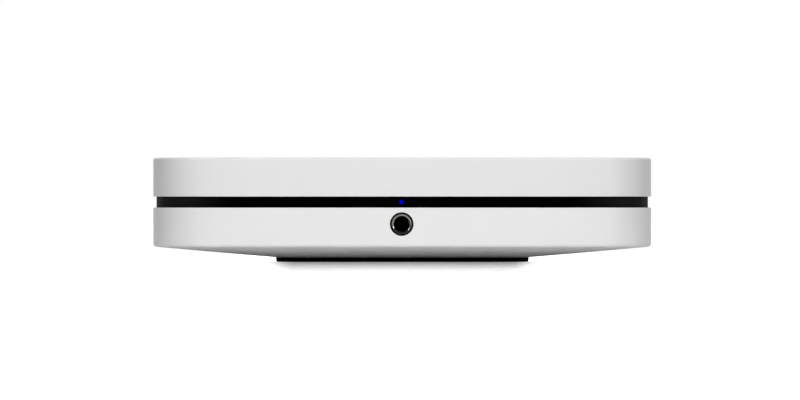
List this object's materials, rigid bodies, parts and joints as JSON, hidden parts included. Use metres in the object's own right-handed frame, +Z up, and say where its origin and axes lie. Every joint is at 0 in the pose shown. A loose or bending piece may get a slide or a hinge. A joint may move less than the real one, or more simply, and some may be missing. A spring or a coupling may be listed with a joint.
{
  "type": "network music streamer",
  "caption": "Low desktop music streamer: two rounded shells parted by a dark recessed band, front headphone socket, rear bay of sockets, on one sloping underside and foot.",
  "frame": {"origin": "centre of the foot's lower face, on the table", "axes": "+X to the right seen from the front, +Y to the rear, +Z up"},
  "size_m": [0.22, 0.146, 0.046],
  "materials": {
    "white_shell": "satin moulded white",
    "black_band": "smooth black",
    "touch_glass": "gloss black",
    "foot_rubber": "matt black",
    "black_plastic": "fine matt black",
    "green_board": "satin green",
    "nickel": "polished nickel",
    "steel": "bright zinc",
    "black_steel": "black",
    "spring_alloy": "bright spring alloy",
    "gold_plate": "gold plated",
    "blue_light": "clear, lit blue",
    "lamp_white": "white",
    "natural_plastic": "natural white",
    "orange_plastic": "orange",
    "red_plastic": "red",
    "white_plastic": "white",
    "clear_lamp": "clear",
    "chip_black": "black",
    "heat_sink_alloy": "black anodised",
    "shield_tin": "tinned",
    "capacitor_sleeve": "dark sleeve",
    "ferrite": "dark ferrite",
    "winding_tape": "yellow tape",
    "choke_case": "dark",
    "fuse_glass": "clear",
    "ribbon_white": "white flat lead",
    "lead_red": "red",
    "aerial_film": "dark film"
  },
  "bodies": {
    "case": {"top_cover": "white_shell", "bottom_case": "white_shell", "middle_band": "black_band", "touch_panel": "touch_glass", "touch_sensor_board": "green_board", "base_foot": "foot_rubber", "rear_panel": "black_plastic", "rear_panel_screws": "black_steel", "case_screws": "steel", "board_screws": "steel", "main_board": "green_board", "power_board": "green_board", "indicator_board": "green_board", "status_lamp": "lamp_white", "status_light_guide": "blue_light", "infrared_receiver": "chip_black", "headphone_socket_body": "black_plastic", "headphone_bushing": "nickel", "phono_housings": "black_plastic", "phono_barrels": "gold_plate", "phono_insulators": "white_plastic", "phono_contacts": "gold_plate", "coaxial_output_collar": "orange_plastic", "subwoofer_output_collar": "black_plastic", "right_output_collar": "red_plastic", "left_output_collar": "white_plastic", "optical_socket": "black_plastic", "optical_emitter": "clear_lamp", "small_sockets": "black_plastic", "video_socket_shell": "shield_tin", "bay_liner": "black_plastic", "bus_socket_shell": "shield_tin", "socket_tongues": "black_plastic", "network_socket_shield": "shield_tin", "network_socket_insert": "black_plastic", "network_socket_lamps": "clear_lamp", "mains_inlet": "black_plastic", "mains_inlet_pins": "nickel", "processor": "chip_black", "heat_sink": "heat_sink_alloy", "wireless_module": "shield_tin", "converter_chips": "chip_black", "audio_capacitors": "capacitor_sleeve", "transformer_core": "ferrite", "transformer_winding": "winding_tape", "line_choke": "choke_case", "power_capacitors": "capacitor_sleeve", "mains_fuse": "fuse_glass", "fuse_clips": "shield_tin", "board_connectors": "natural_plastic", "touch_ribbon": "ribbon_white", "power_lead": "lead_red", "wireless_aerials": "aerial_film"},
    "optical_shutter": {"optical_shutter": "black_plastic"},
    "headphone_tip_contact": {"headphone_tip_spring": "spring_alloy"},
    "headphone_ring_contact": {"headphone_ring_spring": "spring_alloy"},
    "trigger_contact": {"trigger_socket_spring": "spring_alloy"},
    "infrared_contact": {"infrared_socket_spring": "spring_alloy"},
    "line_input_contact": {"line_input_spring": "spring_alloy"},
    "network_contact_row": {"network_socket_contacts": "gold_plate"}
  },
  "joints": [
    {"name": "optical_shutter_swing", "type": "hinge", "parent": "case", "child": "optical_shutter", "pos_m": [-0.026, 0.0635, 0.0196], "axis": [-1, 0, 0], "range_deg": [0, 80], "stiffness_Nm_per_rad": 0.0002, "springref_deg": -28.65},
    {"name": "headphone_tip_flex", "type": "hinge", "parent": "case", "child": "headphone_tip_contact", "pos_m": [-0.0047, -0.0398, 0.0168], "axis": [0, 0, -1], "range_deg": [0, 5], "stiffness_Nm_per_rad": 0.05},
    {"name": "headphone_ring_flex", "type": "hinge", "parent": "case", "child": "headphone_ring_contact", "pos_m": [0.0047, -0.0398, 0.0168], "axis": [0, 0, 1], "range_deg": [0, 5], "stiffness_Nm_per_rad": 0.05},
    {"name": "network_contact_flex", "type": "hinge", "parent": "case", "child": "network_contact_row", "pos_m": [0.046, 0.06225, 0.0218], "axis": [-1, 0, 0], "range_deg": [0, 8], "stiffness_Nm_per_rad": 0.05},
    {"name": "trigger_contact_flex", "type": "hinge", "parent": "case", "child": "trigger_contact", "pos_m": [0.00375, 0.0513, 0.0143], "axis": [0, 0, -1], "range_deg": [0, 5], "stiffness_Nm_per_rad": 0.02},
    {"name": "infrared_contact_flex", "type": "hinge", "parent": "case", "child": "infrared_contact", "pos_m": [-0.00475, 0.0513, 0.0143], "axis": [0, 0, -1], "range_deg": [0, 5], "stiffness_Nm_per_rad": 0.02},
    {"name": "line_input_contact_flex", "type": "hinge", "parent": "case", "child": "line_input_contact", "pos_m": [-0.01325, 0.0513, 0.0143], "axis": [0, 0, -1], "range_deg": [0, 5], "stiffness_Nm_per_rad": 0.02}
  ]
}
